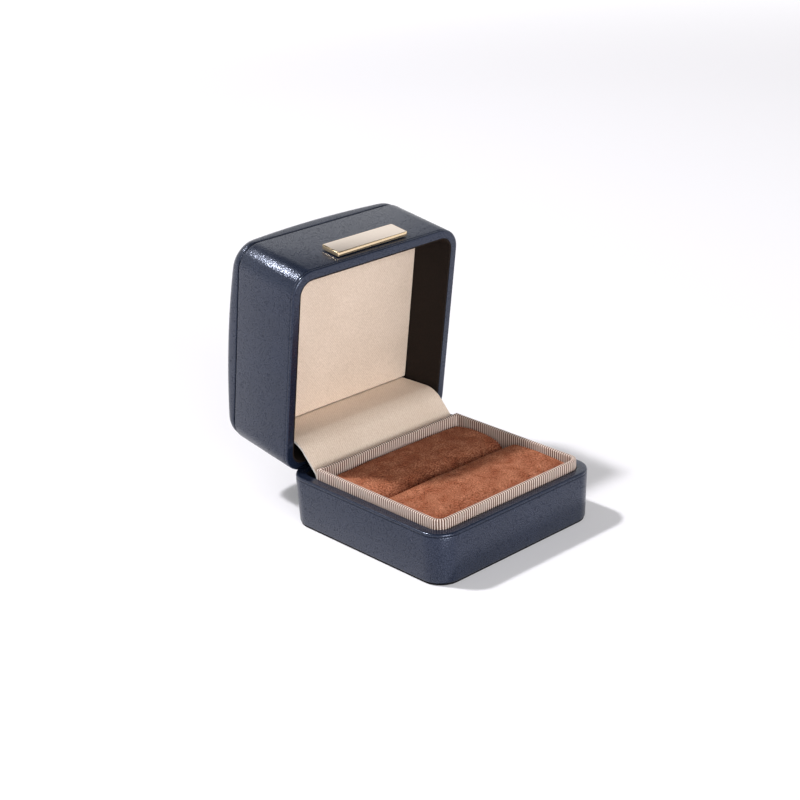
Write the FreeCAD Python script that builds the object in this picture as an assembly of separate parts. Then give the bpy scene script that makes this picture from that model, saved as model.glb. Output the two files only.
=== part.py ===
import FreeCAD, Part
import math
import os

# A hinged ring box, standing open. Millimetres, +X to the right, -Y to the front,
# +Z up. The origin is at the centre of the underside. The lid's pieces are drawn
# shut over the base and swung open about the hinge at the end.

Vec = FreeCAD.Vector
X_AXIS = Vec(1, 0, 0)

# Modelling allowances: how far a cutter runs past what it cuts, and how near counts as touching
past = 1.0
touch = 1e-4

# Outside of the box
width = 65.0
depth = 65.0
corner_radius = 7.2
base_height = 16.0
base_draft = 0.4
lid_height = 24.6
closed_gap = 0.3
open_angle = 81.3

# Walls and coverings
leather = 0.7
base_wall = 2.25
lid_wall = 1.75
lid_lining = 0.5
floor_thickness = 1.6
lid_top_thickness = 2.0
rim_thickness = 0.9
rim_bevel = min(0.8, 0.89 * rim_thickness)
crease_bevel = 0.25

# Bottom board
bottom_board_thickness = 0.6
bottom_board_inset = 0.5

# Tray frame that stands above the base's rim
tray_fit = 0.45
tray_rise = 2.9
tray_rear_setback = 10.0
tray_board = 0.8
tray_front_radius = 3.4
tray_rear_radius = 1.1
tray_least_radius = 0.2
ribbon = 0.3
ribbon_drop = 6.5
ribbon_edge_bevel = 0.35

# Ring cushion
cushion_fit = 0.2
cushion_board_thickness = 1.5
suede = 0.6
suede_drop = 8.0
slot_centre = -0.9
slot_width = 1.0
front_roll_height = 17.5
rear_roll_height = 16.9
roll_sag = 0.7
roll_crown = 0.3
rear_roll_slope = 1.4
roll_end_radius = 2.4
roll_ridge_radius = 20.0
roll_length_radius = 90.0
front_slot_radius = 4.2
rear_slot_radius = 6.5

# Padded panel on top of the lid
pad_inset = 0.15
pad_leather = 0.7
pad_board_thickness = 1.4
pad_height = 8.4
pad_crown_radius = 200.0
pad_edge_radius = 2.4
pad_seam = 0.6
lid_fold = 3.0
lid_fold_bevel = 0.4

# Lining of the lid
ceiling_depth = 14.6
ceiling_cloth = 0.4
ceiling_board_thickness = 1.2
ceiling_fit = 0.15
ceiling_crease_radius = 0.5
crease_setback = 8.3

# Metal plate on the front of the lid, with its prongs
plate_width = 27.6
plate_height = 7.3
plate_thickness = 1.4
plate_corner_radius = 0.7
plate_bevel = 0.35
plate_from_mouth = 2.8
plate_standoff = 0.25
prong_width = 3.0
prong_thickness = 0.6
prong_spacing = 17.0
prong_clearance = 0.1
prong_root = 0.2

# Hinge
hinge_inset = 0.9
hinge_drop = 0.8
hinge_width = 42.0
barrel_radius = 0.9
pin_radius = 0.45
pin_clearance = 0.05
knuckle_gap = 0.2
knuckle_count = 5
leaf_thickness = 0.45
leaf_seat_gap = 0.15
notch_clearance = 0.3
leaf_bend_radius = 0.55
leaf_drop = 8.0
cam_flat = 0.12
spring_thickness = 0.35
spring_tip_gap = 0.2
spring_contact_angle = 199.0
spring_shoulder = 0.35
spring_drop = 7.6
spring_slot_drop = 5.2
rivet_from_barrel = 4.4
rivet_radius = 0.8
rivet_head_radius = 1.4
rivet_head = 0.5
rivet_grip = 1.3
rivet_fit = 0.05
lid_rivet_x = 17.0
base_rivet_x = 8.5

# Cloth cover that hides the hinge
cover_cloth = 0.6
cover_side_gap = 0.8
cover_base_depth = 7.0
cover_knee_rise = 0.2
cover_shelf_rise = 0.3
cover_slope = 46.0
cover_top_bend = 8.0
cover_low_bend = 2.5

# Sizes that follow
half_width = width / 2
half_depth = depth / 2
mouth_inset = leather + base_wall
lid_mouth_inset = leather + lid_wall + lid_lining
mouth_radius = corner_radius - mouth_inset
lid_mouth_radius = corner_radius - lid_mouth_inset
wrap_top = base_height - rim_thickness
floor_top = bottom_board_thickness + floor_thickness
mouth_plane = base_height + closed_gap
lid_wrap_bottom = mouth_plane + rim_thickness
lid_seat = mouth_plane + lid_height
lid_shell_top = lid_seat - leather
lid_roof = lid_shell_top - lid_top_thickness
axis_y = half_depth - hinge_inset
axis_z = base_height - hinge_drop
tray_half = half_width - mouth_inset - tray_fit
tray_front = -half_depth + mouth_inset + tray_fit
tray_rear = half_depth - tray_rear_setback
tray_top = base_height + tray_rise
tray_wall = tray_board + 2 * ribbon
bay_rear = half_depth - mouth_inset
lid_bay_rear = half_depth - lid_mouth_inset
ceiling = mouth_plane + ceiling_depth
crease_y = half_depth - crease_setback
cushion_half = tray_half - tray_wall - cushion_fit
cushion_front = tray_front + tray_wall + cushion_fit
cushion_rear = tray_rear - tray_wall - cushion_fit
cushion_floor = floor_top + cushion_board_thickness
front_roll_back = slot_centre - slot_width / 2
rear_roll_front = slot_centre + slot_width / 2
plate_low = mouth_plane + plate_from_mouth
plate_back = -half_depth - plate_standoff
plate_middle = plate_low + plate_height / 2
lid_front_face = leather + lid_wall - half_depth
lid_rear_face = half_depth - leather - lid_wall
base_rivet_z = axis_z - barrel_radius - rivet_from_barrel
lid_rivet_z = axis_z + barrel_radius + rivet_from_barrel
base_leaf_y = bay_rear - leaf_seat_gap - leaf_thickness / 2
base_leaf_z = axis_z - barrel_radius + leaf_thickness / 2
lid_leaf_y = lid_bay_rear - leaf_seat_gap - leaf_thickness / 2
lid_leaf_z = axis_z + barrel_radius - leaf_thickness / 2
spring_y = base_leaf_y - (leaf_thickness + spring_thickness) / 2
base_rivet_places = (-base_rivet_x, base_rivet_x)
lid_rivet_places = (-lid_rivet_x, lid_rivet_x)
prong_places = (-prong_spacing / 2, prong_spacing / 2)


# Outlines and prisms

def rounded_wire(half, front, rear, front_radius, rear_radius, z):
    """A rectangle at height z with its front and rear corners rounded."""
    corners = (
        (half - rear_radius, rear - rear_radius, rear_radius, 0),
        (rear_radius - half, rear - rear_radius, rear_radius, 90),
        (front_radius - half, front + front_radius, front_radius, 180),
        (half - front_radius, front + front_radius, front_radius, 270),
    )
    ends = []
    arcs = []
    for x, y, radius, start in corners:
        centre = Vec(x, y, z)
        points = []
        for angle in (start, start + 45, start + 90):
            turn = math.radians(angle)
            points.append(centre + Vec(radius * math.cos(turn), radius * math.sin(turn), 0))
        arcs.append(Part.Arc(*points).toShape())
        ends.append((points[0], points[2]))
    edges = []
    for i, arc in enumerate(arcs):
        edges.append(arc)
        edges.append(Part.LineSegment(ends[i][1], ends[(i + 1) % 4][0]).toShape())
    return Part.Wire(edges)


def box_wire(inset, z):
    """The box's own outline, moved in by inset."""
    radius = corner_radius - inset
    return rounded_wire(half_width - inset, inset - half_depth, half_depth - inset, radius, radius, z)


def prism(wire, height):
    return Part.Face(wire).extrude(Vec(0, 0, height))


def box_prism(inset, low, high):
    return prism(box_wire(inset, low), high - low)


def drafted(thickness, bevel):
    """The base's sides, which lean out towards the top, moved in by a thickness."""
    low = bottom_board_thickness
    radius = corner_radius - thickness
    sections = [(thickness + base_draft, radius, low), (thickness, radius, wrap_top - bevel)]
    if bevel > 0:
        sections.append((thickness + bevel, radius - bevel, wrap_top))
    wires = []
    for inset, radius, z in sections:
        wires.append(rounded_wire(half_width - inset, inset - half_depth, half_depth - inset, radius, radius, z))
    return Part.makeLoft(wires, True, True)


def slab(x_low, x_high, y_low, y_high, z_low, z_high):
    corner = Vec(x_low, y_low, z_low)
    return Part.makeBox(x_high - x_low, y_high - y_low, z_high - z_low, corner)


def edges_at(shape, z):
    """Edges that lie at height z."""
    found = []
    for edge in shape.Edges:
        bounds = edge.BoundBox
        if abs(bounds.ZMin - z) < touch and abs(bounds.ZMax - z) < touch:
            found.append(edge)
    return found


def edges_before(shape, y):
    """Edges that lie at depth y or in front of it."""
    return [edge for edge in shape.Edges if edge.BoundBox.YMax < y + touch]


# Bent sheet metal and cloth: a path in the YZ plane, thickened and drawn along X

def offset_path(points, distance):
    """The same path, moved sideways: to the left of its direction if distance > 0."""
    normals = []
    for (y0, z0), (y1, z1) in zip(points, points[1:]):
        length = math.hypot(y1 - y0, z1 - z0)
        normals.append((-(z1 - z0) / length, (y1 - y0) / length))
    moved = [(points[0][0] + normals[0][0] * distance, points[0][1] + normals[0][1] * distance)]
    for point, (ay, az), (by, bz) in zip(points[1:-1], normals, normals[1:]):
        scale = distance / (1 + ay * by + az * bz)
        moved.append((point[0] + (ay + by) * scale, point[1] + (az + bz) * scale))
    moved.append((points[-1][0] + normals[-1][0] * distance, points[-1][1] + normals[-1][1] * distance))
    return moved


def path_edges(points, radii, x):
    """Straight runs joined by tangent arcs. radii holds one radius for each inner point."""
    edges = []
    start = Vec(x, *points[0])
    for i, radius in enumerate(radii):
        here = Vec(x, *points[i + 1])
        back = (Vec(x, *points[i]) - here).normalize()
        ahead = (Vec(x, *points[i + 2]) - here).normalize()
        turn = math.pi - back.getAngle(ahead)
        if radius < touch or turn < touch:
            edges.append(Part.LineSegment(start, here).toShape())
            start = here
            continue
        run = radius * math.tan(turn / 2)
        middle = (back + ahead).normalize() * (radius / math.cos(turn / 2) - radius)
        first = here + back * run
        last = here + ahead * run
        edges.append(Part.LineSegment(start, first).toShape())
        edges.append(Part.Arc(first, here + middle, last).toShape())
        start = last
    edges.append(Part.LineSegment(start, Vec(x, *points[-1])).toShape())
    return edges


def bent_sheet(points, radii, thickness, x_low, x_high):
    """Sheet of even thickness about a path of (y, z) points."""
    turns = []
    for (ay, az), (by, bz), (cy, cz) in zip(points, points[1:], points[2:]):
        cross = (by - ay) * (cz - bz) - (bz - az) * (cy - by)
        turns.append(math.copysign(1, cross))
    half = thickness / 2
    left_radii = [radius - turn * half for radius, turn in zip(radii, turns)]
    right_radii = [radius + turn * half for radius, turn in zip(radii, turns)]
    left = offset_path(points, half)
    right = offset_path(points, -half)
    edges = path_edges(left, left_radii, x_low)
    edges.append(Part.LineSegment(Vec(x_low, *left[-1]), Vec(x_low, *right[-1])).toShape())
    edges += path_edges(right[::-1], right_radii[::-1], x_low)
    edges.append(Part.LineSegment(Vec(x_low, *right[0]), Vec(x_low, *left[0])).toShape())
    face = Part.Face(Part.Wire(Part.__sortEdges__(edges)))
    return face.extrude(Vec(x_high - x_low, 0, 0))


def outline_prism(points, radii, start, direction, flat):
    """A closed outline with rounded corners, drawn from start along direction.

    flat(start, point) gives the place of one of the outline's two-number points.
    """
    edges = []
    count = len(points)
    corners = []
    for i in range(count):
        here = flat(start, points[i])
        back = (flat(start, points[i - 1]) - here).normalize()
        ahead = (flat(start, points[(i + 1) % count]) - here).normalize()
        turn = math.pi - back.getAngle(ahead)
        run = radii[i] * math.tan(turn / 2)
        if radii[i] < touch:
            corners.append((here, None, here))
            continue
        middle = here + (back + ahead).normalize() * (radii[i] / math.cos(turn / 2) - radii[i])
        corners.append((here + back * run, middle, here + ahead * run))
    for i, (first, middle, last) in enumerate(corners):
        if middle is not None:
            edges.append(Part.Arc(first, middle, last).toShape())
        edges.append(Part.LineSegment(last, corners[(i + 1) % count][0]).toShape())
    return Part.Face(Part.Wire(edges)).extrude(direction)


def side_outline(points, radii, half):
    """An outline of (y, z) points, drawn from -half to half along X."""
    return outline_prism(points, radii, -half, Vec(2 * half, 0, 0), lambda x, p: Vec(x, p[0], p[1]))


def front_outline(points, radii, front, rear):
    """An outline of (x, z) points, drawn from front to rear along Y."""
    return outline_prism(points, radii, front, Vec(0, rear - front, 0), lambda y, p: Vec(p[0], y, p[1]))


def rod(x_low, x_high, y, z, radius):
    return Part.makeCylinder(radius, x_high - x_low, Vec(x_low, y, z), X_AXIS)


def peg(x, y_low, y_high, z, radius):
    return Part.makeCylinder(radius, y_high - y_low, Vec(x, y_low, z), Vec(0, 1, 0))


def solid(shape):
    """The one solid in a cut or fused shape."""
    shape = shape.removeSplitter()
    return shape.Solids[0] if len(shape.Solids) == 1 else shape


def opened(shape):
    """A lid piece, swung from its place on the shut box to the open pose."""
    turned = shape.copy()
    turned.rotate(Vec(0, axis_y, axis_z), X_AXIS, -open_angle)
    return turned


# Base

def hinge_notch():
    """The cut in the base's rear wall that takes the base leaf and the barrel."""
    side = hinge_width / 2 + knuckle_gap
    floor = axis_z - barrel_radius - notch_clearance
    return slab(-side, side, bay_rear - past, half_depth + past, floor, base_height + past)


def make_base_bottom_board():
    return box_prism(base_draft + bottom_board_inset, 0, bottom_board_thickness)


def make_base_shell():
    outside = drafted(leather, 0)
    inside = box_prism(mouth_inset, floor_top, wrap_top + past)
    shell = outside.cut(inside).cut(hinge_notch())
    bottom = bay_rear + rivet_grip + rivet_fit
    for x in base_rivet_places:
        shell = shell.cut(peg(x, bay_rear - past, bottom, base_rivet_z, rivet_radius + rivet_fit))
    return solid(shell)


def make_base_wrap():
    return solid(drafted(0, crease_bevel).cut(drafted(leather, 0)).cut(hinge_notch()))


def rim_ring(inset, low, outer_edge):
    """Edge trim round a mouth. outer_edge is the height of its bevelled outer edge.

    The bevel is what lets the lid's mouth roll round the base's rear edge.
    """
    high = low + rim_thickness
    ring = box_prism(0, low, high)
    ring = ring.makeChamfer(rim_bevel, edges_at(ring, outer_edge))
    return ring.cut(box_prism(inset, low - past, high + past))


def make_base_rim():
    ring = rim_ring(mouth_inset, wrap_top, base_height)
    return solid(ring.cut(hinge_notch()))


# Tray and cushion

def tray_wire(inset, z):
    front_radius = max(tray_front_radius - inset, tray_least_radius)
    rear_radius = max(tray_rear_radius - inset, tray_least_radius)
    front = tray_front + inset
    rear = tray_rear - inset
    return rounded_wire(tray_half - inset, front, rear, front_radius, rear_radius, z)


def tray_prism(inset, low, high):
    return prism(tray_wire(inset, low), high - low)


def make_tray_frame():
    outer = tray_prism(ribbon, floor_top, tray_top - ribbon)
    return solid(outer.cut(tray_prism(ribbon + tray_board, floor_top - past, tray_top)))


def make_tray_ribbon():
    """Ribbon over the top of the frame and down both of its faces."""
    low = tray_top - ribbon_drop
    ring = tray_prism(0, low, tray_top).cut(tray_prism(tray_wall, low - past, tray_top + past))
    ring = ring.makeChamfer(ribbon_edge_bevel, edges_at(ring, tray_top))
    frame = tray_prism(ribbon, low - past, tray_top - ribbon)
    frame = frame.cut(tray_prism(ribbon + tray_board, low - past, tray_top))
    return solid(ring.cut(frame))


def cushion_prism(inset, low, high):
    """The space inside the tray frame, drawn in by the cushion's fit and by inset."""
    return tray_prism(tray_wall + cushion_fit + inset, low, high)


def make_cushion_board():
    return cushion_prism(0, floor_top, cushion_floor)


def across_outline(height, inset, front, rear):
    """The rolls' form seen from the front: crowned, with rounded ends."""
    half = cushion_half - inset
    top = height - inset
    side_top = top - roll_sag
    points = (
        (-half, cushion_floor),
        (-half, side_top),
        (0, top + roll_crown),
        (half, side_top),
        (half, cushion_floor),
    )
    end = roll_end_radius - inset
    return front_outline(points, (0, end, roll_length_radius, end, 0), front, rear)


def front_roll(inset):
    """The front roll, drawn in by inset for the foam under the suede."""
    front = cushion_front + inset
    rear = front_roll_back - inset
    top = front_roll_height - inset
    side_top = top - roll_sag
    points = (
        (front, cushion_floor),
        (front, side_top),
        ((front + rear) / 2, top + roll_crown),
        (rear, side_top),
        (rear, cushion_floor),
    )
    radii = (0, roll_end_radius - inset, roll_ridge_radius, front_slot_radius - inset, 0)
    along = side_outline(points, radii, cushion_half).common(cushion_prism(inset, 0, tray_top))
    return along.common(across_outline(front_roll_height, inset, front, rear))


def rear_roll(inset):
    """The rear roll. It slopes down towards the slot."""
    front = rear_roll_front + inset
    rear = cushion_rear - inset
    top = rear_roll_height - inset
    points = (
        (front, cushion_floor),
        (front, top - rear_roll_slope),
        ((front + rear) / 2, top),
        (rear, top - roll_sag),
        (rear, cushion_floor),
    )
    radii = (0, rear_slot_radius - inset, roll_ridge_radius, roll_end_radius - inset, 0)
    along = side_outline(points, radii, cushion_half).common(cushion_prism(inset, 0, tray_top))
    return along.common(across_outline(rear_roll_height, inset, front, rear))


def suede_skin(roll, foam):
    """The skin between a roll and its foam, down to where the suede is turned under."""
    low = tray_top - suede_drop
    below = slab(-half_width, half_width, -half_depth, half_depth, 0, low)
    return solid(roll.cut(foam).cut(below))


# Lid, drawn shut

def prongs(clearance, y_low, y_high):
    """The plate's two flat prongs, or with a clearance the slits that they pass through."""
    half_x = prong_width / 2 + clearance
    half_z = prong_thickness / 2 + clearance
    made = []
    for x in prong_places:
        low = plate_middle - half_z
        high = plate_middle + half_z
        made.append(slab(x - half_x, x + half_x, y_low, y_high, low, high))
    return made


def make_lid_shell():
    outside = box_prism(leather, lid_wrap_bottom, lid_shell_top)
    inside = box_prism(leather + lid_wall, lid_wrap_bottom - past, lid_roof)
    shell = outside.cut(inside)
    shell = shell.cut(prongs(prong_clearance, -half_depth - past, lid_front_face + past))
    bottom = lid_rear_face + rivet_grip + rivet_fit
    for x in lid_rivet_places:
        shell = shell.cut(peg(x, lid_rear_face - past, bottom, lid_rivet_z, rivet_radius + rivet_fit))
    return solid(shell)


def make_lid_wrap():
    outside = box_prism(0, lid_wrap_bottom, lid_seat)
    outside = outside.makeChamfer(crease_bevel, edges_at(outside, lid_wrap_bottom))
    outside = outside.makeChamfer(lid_fold_bevel, edges_at(outside, lid_seat))
    wrap = outside.cut(box_prism(leather, lid_wrap_bottom - past, lid_shell_top))
    wrap = wrap.cut(box_prism(lid_fold, lid_shell_top - past, lid_seat + past))
    return solid(wrap.cut(prongs(prong_clearance, -half_depth - past, lid_front_face)))


def make_lid_rim():
    return solid(rim_ring(lid_mouth_inset, mouth_plane, mouth_plane))


def make_lid_side_lining():
    outer = box_prism(leather + lid_wall, lid_wrap_bottom, lid_roof)
    lining = outer.cut(box_prism(lid_mouth_inset, lid_wrap_bottom - past, lid_roof + past))
    for x in lid_rivet_places:
        lining = lining.cut(peg(x, lid_bay_rear - past, half_depth, lid_rivet_z, rivet_radius + rivet_fit))
    return solid(lining)


def ceiling_prism(low, high, rear, rear_radius):
    inset = lid_mouth_inset + ceiling_fit
    front_radius = lid_mouth_radius - ceiling_fit
    wire = rounded_wire(half_width - inset, inset - half_depth, rear, front_radius, rear_radius, low)
    return prism(wire, high - low)


def make_ceiling_lining():
    """Cloth under the ceiling board. It ends at the crease where the hinge cover starts."""
    return ceiling_prism(ceiling, ceiling + ceiling_cloth, crease_y, ceiling_crease_radius)


def make_ceiling_board():
    low = ceiling + ceiling_cloth
    return ceiling_prism(low, low + ceiling_board_thickness, crease_y, ceiling_crease_radius)


def make_ceiling_foam():
    low = ceiling + ceiling_cloth + ceiling_board_thickness
    return ceiling_prism(low, lid_roof, lid_bay_rear - ceiling_fit, lid_mouth_radius - ceiling_fit)


def arched_outline(half, inset, turn):
    """A slice of the padded panel: straight sides, rounded shoulders and an arched top."""
    top = lid_seat + pad_height - inset
    sag = half * half / (2 * pad_crown_radius)
    shoulder = pad_edge_radius - inset
    arch = pad_crown_radius * (half - shoulder) / half
    points = ((-half, lid_seat), (-half, top - sag), (0, top + sag), (half, top - sag), (half, lid_seat))
    slice_shape = front_outline(points, (0, shoulder, arch, shoulder, 0), -width, width)
    slice_shape.rotate(Vec(0, 0, 0), Vec(0, 0, 1), turn)
    return slice_shape


def pad_block(inset):
    """The padded panel's form: four arched slices, crossed, take a ball's crown off the box."""
    across = half_width - pad_inset - inset
    along = half_depth - pad_inset - inset
    radius = corner_radius - pad_inset - inset
    cornerwise = (across + along - 2 * radius) / math.sqrt(2) + radius
    block = box_prism(pad_inset + inset, lid_seat, lid_seat + pad_height)
    for half, turn in ((across, 0), (along, 90), (cornerwise, 45), (cornerwise, 135)):
        block = block.common(arched_outline(half, inset, turn))
    return block


def make_pad_cover():
    outer = pad_block(0)
    outer = outer.makeChamfer(pad_seam, edges_at(outer, lid_seat))
    return solid(outer.cut(pad_block(pad_leather)))


def make_pad_board():
    return box_prism(pad_inset + pad_leather, lid_seat, lid_seat + pad_board_thickness)


def make_pad_foam():
    board_top = lid_seat + pad_board_thickness
    below = slab(-half_width, half_width, -half_depth, half_depth, lid_seat - past, board_top)
    return solid(pad_block(pad_leather).cut(below))


def make_front_plate():
    """Plate with a bevelled face and two prongs that pass through the lid's front wall."""
    half = plate_width / 2
    high = plate_low + plate_height
    face = plate_back - plate_thickness
    points = ((-half, plate_low), (-half, high), (half, high), (half, plate_low))
    plate = front_outline(points, (plate_corner_radius,) * 4, face, plate_back)
    plate = plate.makeChamfer(plate_bevel, edges_before(plate, face))
    return solid(plate.fuse(prongs(0, plate_back - prong_root, lid_front_face)))


# Hinge

def knuckle_spans(first):
    """The X spans of every second knuckle, from the one numbered first."""
    pitch = hinge_width / knuckle_count
    spans = []
    for i in range(first, knuckle_count, 2):
        low = -hinge_width / 2 + i * pitch
        spans.append((low + knuckle_gap / 2, low + pitch - knuckle_gap / 2))
    return spans


def cut_fingers(leaf, other_spans, y_low, z_low, z_high):
    """Clear the leaf where the other leaf's knuckles turn."""
    for x_low, x_high in other_spans:
        side_low = x_low - knuckle_gap
        side_high = x_high + knuckle_gap
        leaf = leaf.cut(slab(side_low, side_high, y_low, half_depth, z_low, z_high))
    return leaf


def add_knuckles(leaf, spans):
    for x_low, x_high in spans:
        leaf = leaf.fuse(rod(x_low, x_high, axis_y, axis_z, barrel_radius))
    side = hinge_width / 2 + past
    return leaf.cut(rod(-side, side, axis_y, axis_z, pin_radius + pin_clearance))


def pierced(sheet, places, y, z):
    """Rivet holes through a hinge leaf or the spring."""
    for x in places:
        sheet = sheet.cut(peg(x, y - past, y + past, z, rivet_radius))
    return sheet


def make_hinge_base_leaf():
    half = hinge_width / 2
    foot = base_leaf_z - leaf_drop
    path = ((base_leaf_y, foot), (base_leaf_y, base_leaf_z), (axis_y, base_leaf_z))
    leaf = bent_sheet(path, (leaf_bend_radius,), leaf_thickness, -half, half)
    leaf = pierced(leaf, base_rivet_places, base_leaf_y, base_rivet_z)
    leaf = cut_fingers(leaf, knuckle_spans(1), 0, base_leaf_z - leaf_thickness, base_height)
    return solid(add_knuckles(leaf, knuckle_spans(0)))


def cut_cam_flats(leaf):
    """Flats on the lid's knuckles, one to face the spring's tips shut and one open."""
    half = hinge_width / 2
    for swing in (0, open_angle):
        low = barrel_radius - cam_flat
        high = barrel_radius + cam_flat
        block = slab(-half, half, low, high, -barrel_radius, barrel_radius)
        block.rotate(Vec(0, 0, 0), X_AXIS, spring_contact_angle + swing)
        block.translate(Vec(0, axis_y, axis_z))
        leaf = leaf.cut(block)
    return leaf


def make_hinge_lid_leaf():
    half = hinge_width / 2
    head = lid_leaf_z + leaf_drop
    path = ((lid_leaf_y, head), (lid_leaf_y, lid_leaf_z), (axis_y, lid_leaf_z))
    leaf = bent_sheet(path, (leaf_bend_radius,), leaf_thickness, -half, half)
    leaf = pierced(leaf, lid_rivet_places, lid_leaf_y, lid_rivet_z)
    clear_from = axis_y - barrel_radius - knuckle_gap
    leaf = cut_fingers(leaf, knuckle_spans(0), clear_from, axis_z, lid_leaf_z + leaf_thickness)
    return solid(cut_cam_flats(add_knuckles(leaf, knuckle_spans(1))))


def make_hinge_pin():
    return rod(-hinge_width / 2, hinge_width / 2, axis_y, axis_z, pin_radius)


def make_hinge_spring():
    """Flat spring: a riveted web with two prongs that bear on the lid's knuckles."""
    reach = barrel_radius + spring_tip_gap + spring_thickness / 2
    angle = math.radians(spring_contact_angle)
    tip = (axis_y + math.cos(angle) * reach, axis_z + math.sin(angle) * reach)
    foot = base_leaf_z - spring_drop
    path = ((spring_y, foot), (spring_y, tip[1] - spring_shoulder), tip)
    inner, outer = knuckle_spans(1)[-1]
    inner += knuckle_gap
    outer -= knuckle_gap
    spring = bent_sheet(path, (leaf_bend_radius,), spring_thickness, -outer, outer)
    spring = spring.cut(slab(-inner, inner, 0, axis_y, tip[1] - spring_slot_drop, base_height))
    return solid(pierced(spring, base_rivet_places, spring_y, base_rivet_z))


def rivets(places, z, face, wall_face):
    """Flat-headed rivets on a plate's front face, set in the wall behind."""
    made = []
    for x in places:
        shank = peg(x, face, wall_face + rivet_grip, z, rivet_radius)
        head = peg(x, face - rivet_head, face, z, rivet_head_radius)
        made.append(solid(shank.fuse(head)))
    return Part.makeCompound(made)


def make_hinge_base_rivets():
    """They hold the spring and the base leaf together on the base's rear wall."""
    return rivets(base_rivet_places, base_rivet_z, spring_y - spring_thickness / 2, bay_rear)


def make_hinge_lid_rivets():
    face = lid_leaf_y - leaf_thickness / 2
    return rivets(lid_rivet_places, lid_rivet_z, face, lid_rear_face)


def swing_point(y, z):
    """Where a point of the shut lid goes when the lid stands open."""
    axis = Vec(0, axis_y, axis_z)
    moved = FreeCAD.Rotation(X_AXIS, -open_angle).multVec(Vec(0, y, z) - axis) + axis
    return moved.y, moved.z


def make_hinge_cover():
    """Cloth on card, from the lid's lining over the hinge and down behind the tray."""
    drop_y = tray_rear + tray_fit + cover_cloth / 2
    crease = swing_point(crease_y + cover_cloth, ceiling + ceiling_cloth)
    slope = math.radians(cover_slope)
    knee_z = base_height + cover_knee_rise
    shelf_z = crease[1] + cover_shelf_rise
    shelf_y = drop_y + (shelf_z - knee_z) / math.tan(slope)
    path = (crease, (shelf_y, shelf_z), (drop_y, knee_z), (drop_y, base_height - cover_base_depth))
    half = tray_half - cover_side_gap
    return bent_sheet(path, (cover_top_bend, cover_low_bend), cover_cloth, -half, half)


def make_parts():
    front_foam = front_roll(suede)
    rear_foam = rear_roll(suede)
    return {
        "base_bottom_board": make_base_bottom_board(),
        "base_shell": make_base_shell(),
        "base_wrap": make_base_wrap(),
        "base_rim": make_base_rim(),
        "tray_frame": make_tray_frame(),
        "tray_ribbon": make_tray_ribbon(),
        "cushion_board": make_cushion_board(),
        "cushion_foam_front": solid(front_foam),
        "cushion_foam_rear": solid(rear_foam),
        "cushion_cover_front": suede_skin(front_roll(0), front_foam),
        "cushion_cover_rear": suede_skin(rear_roll(0), rear_foam),
        "hinge_base_leaf": make_hinge_base_leaf(),
        "hinge_pin": make_hinge_pin(),
        "hinge_spring": make_hinge_spring(),
        "hinge_base_rivets": make_hinge_base_rivets(),
        "hinge_cover": make_hinge_cover(),
        "hinge_lid_leaf": opened(make_hinge_lid_leaf()),
        "hinge_lid_rivets": opened(make_hinge_lid_rivets()),
        "lid_shell": opened(make_lid_shell()),
        "lid_wrap": opened(make_lid_wrap()),
        "lid_rim": opened(make_lid_rim()),
        "lid_side_lining": opened(make_lid_side_lining()),
        "lid_ceiling_lining": opened(make_ceiling_lining()),
        "lid_ceiling_board": opened(make_ceiling_board()),
        "lid_ceiling_foam": opened(make_ceiling_foam()),
        "lid_pad_board": opened(make_pad_board()),
        "lid_pad_foam": opened(make_pad_foam()),
        "lid_pad_cover": opened(make_pad_cover()),
        "front_plate": opened(make_front_plate()),
    }


def main():
    os.makedirs("parts", exist_ok=True)
    for node, shape in make_parts().items():
        if not shape.isValid() or shape.Volume <= 0:
            raise ValueError(node + " is not a sound solid")
        shape.exportStep("parts/" + node + ".step")
        print(node, len(shape.Solids), round(shape.Volume, 1))


main()
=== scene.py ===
# %% [markdown]
# A small ring box, standing open. It is two moulded plastic shells wrapped in navy
# leatherette, a card tray bound in ribbed ribbon, two suede rolls that pinch a ring
# between them, and a lid with a cloth ceiling and a padded top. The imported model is
# loaded first and stays where it is. Hard parts that already have the right shape
# keep their mesh and get a finish; soft parts are modelled again around it.

# %% Load the frame
import math

import bmesh
import bpy
from mathutils import Matrix, Vector, noise


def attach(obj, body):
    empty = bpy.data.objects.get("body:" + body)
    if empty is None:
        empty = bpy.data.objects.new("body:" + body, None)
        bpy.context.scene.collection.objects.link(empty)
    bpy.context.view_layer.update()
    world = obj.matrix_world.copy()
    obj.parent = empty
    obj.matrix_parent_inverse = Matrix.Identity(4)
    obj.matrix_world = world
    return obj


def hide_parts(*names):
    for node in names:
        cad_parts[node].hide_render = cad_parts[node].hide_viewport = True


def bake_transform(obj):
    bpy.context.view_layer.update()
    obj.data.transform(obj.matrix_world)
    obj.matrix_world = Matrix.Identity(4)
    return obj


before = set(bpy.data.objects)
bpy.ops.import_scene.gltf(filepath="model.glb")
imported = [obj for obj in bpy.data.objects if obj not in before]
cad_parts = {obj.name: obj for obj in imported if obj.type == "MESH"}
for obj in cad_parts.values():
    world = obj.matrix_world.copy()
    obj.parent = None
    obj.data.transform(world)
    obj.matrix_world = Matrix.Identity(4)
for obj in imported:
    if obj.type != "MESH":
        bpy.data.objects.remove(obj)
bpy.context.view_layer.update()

# %% [markdown]
# All sizes below are in millimetres, as on a maker's drawing, and one factor turns
# them into the metres that the scene uses. The lid is modelled shut, because that is
# how its sizes are known, and then swung about the hinge pin to where it stands.

# %% Sizes of the box
mm = 0.001
touch = 0.02
half_width = 32.5
corner = 7.2
base_height = 16.0
leather = 0.7
rim_thickness = 0.9
rim_width = 2.95
rim_roll = 0.6
rim_underside = 0.25
crease = 0.5
flock_thickness = 0.5
mouth_plane = 16.3
lid_seat = 40.9
hinge_y = 31.6
hinge_z = 15.2
open_angle = 81.3
print("open angle", open_angle, "degrees about y", hinge_y, "z", hinge_z)

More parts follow.
